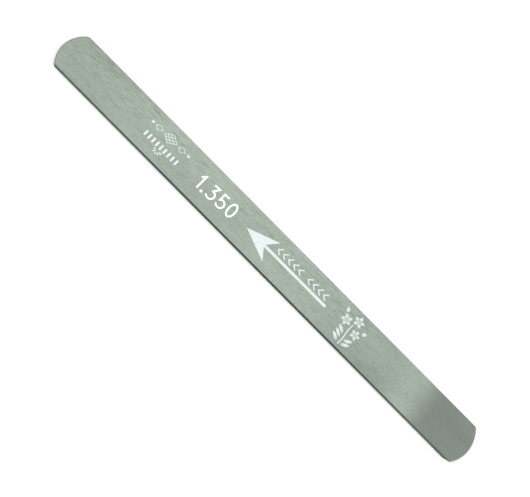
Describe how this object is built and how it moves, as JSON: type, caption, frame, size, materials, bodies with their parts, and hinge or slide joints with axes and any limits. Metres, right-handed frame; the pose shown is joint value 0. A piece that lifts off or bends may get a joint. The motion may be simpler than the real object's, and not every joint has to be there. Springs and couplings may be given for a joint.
{
  "type": "skiving knife",
  "caption": "Flat steel bar knife for paring leather, with a curved single-bevel cutting edge at one end, a plain rounded palm end and white printed marks on the top face.",
  "frame": {"origin": "middle of the underside, below the centre of the bar's bounding box", "axes": "+X along the bar towards the cutting edge, +Y towards the upper long edge as the printed numerals are read, +Z out of the printed face"},
  "size_m": [0.1524, 0.0126, 0.0014],
  "materials": {
    "steel": "surface-ground tool steel with fine lines along the bar, lapped smoother at the cutting end",
    "ink": "thin white printing ink"
  },
  "bodies": {
    "root": {"blade": "steel", "ink_arrow": "ink", "ink_bar_mark_1": "ink", "ink_bar_mark_2": "ink", "ink_bar_mark_3": "ink", "ink_bar_mark_4": "ink", "ink_bar_mark_5": "ink", "ink_bar_mark_6": "ink", "ink_bar_mark_7": "ink", "ink_bar_mark_8": "ink", "ink_bar_mark_9": "ink", "ink_blossom_left": "ink", "ink_blossom_right": "ink", "ink_blossom_top": "ink", "ink_bud_left": "ink", "ink_bud_right": "ink", "ink_chevron_1": "ink", "ink_chevron_2": "ink", "ink_chevron_3": "ink", "ink_chevron_4": "ink", "ink_chevron_5": "ink", "ink_chevron_6": "ink", "ink_chevron_7": "ink", "ink_chevron_8": "ink", "ink_chevron_9": "ink", "ink_leaf_left_1": "ink", "ink_leaf_left_2": "ink", "ink_leaf_left_3": "ink", "ink_leaf_right_1": "ink", "ink_leaf_right_2": "ink", "ink_lozenge_centre": "ink", "ink_lozenge_inner_left": "ink", "ink_lozenge_inner_right": "ink", "ink_lozenge_outer_left": "ink", "ink_lozenge_outer_right": "ink", "ink_numeral_five": "ink", "ink_numeral_one": "ink", "ink_numeral_point": "ink", "ink_numeral_three": "ink", "ink_numeral_zero": "ink", "ink_ray_1": "ink", "ink_ray_2": "ink", "ink_ray_3": "ink", "ink_ray_4": "ink", "ink_ray_5": "ink", "ink_stem": "ink"}
  },
  "joints": []
}
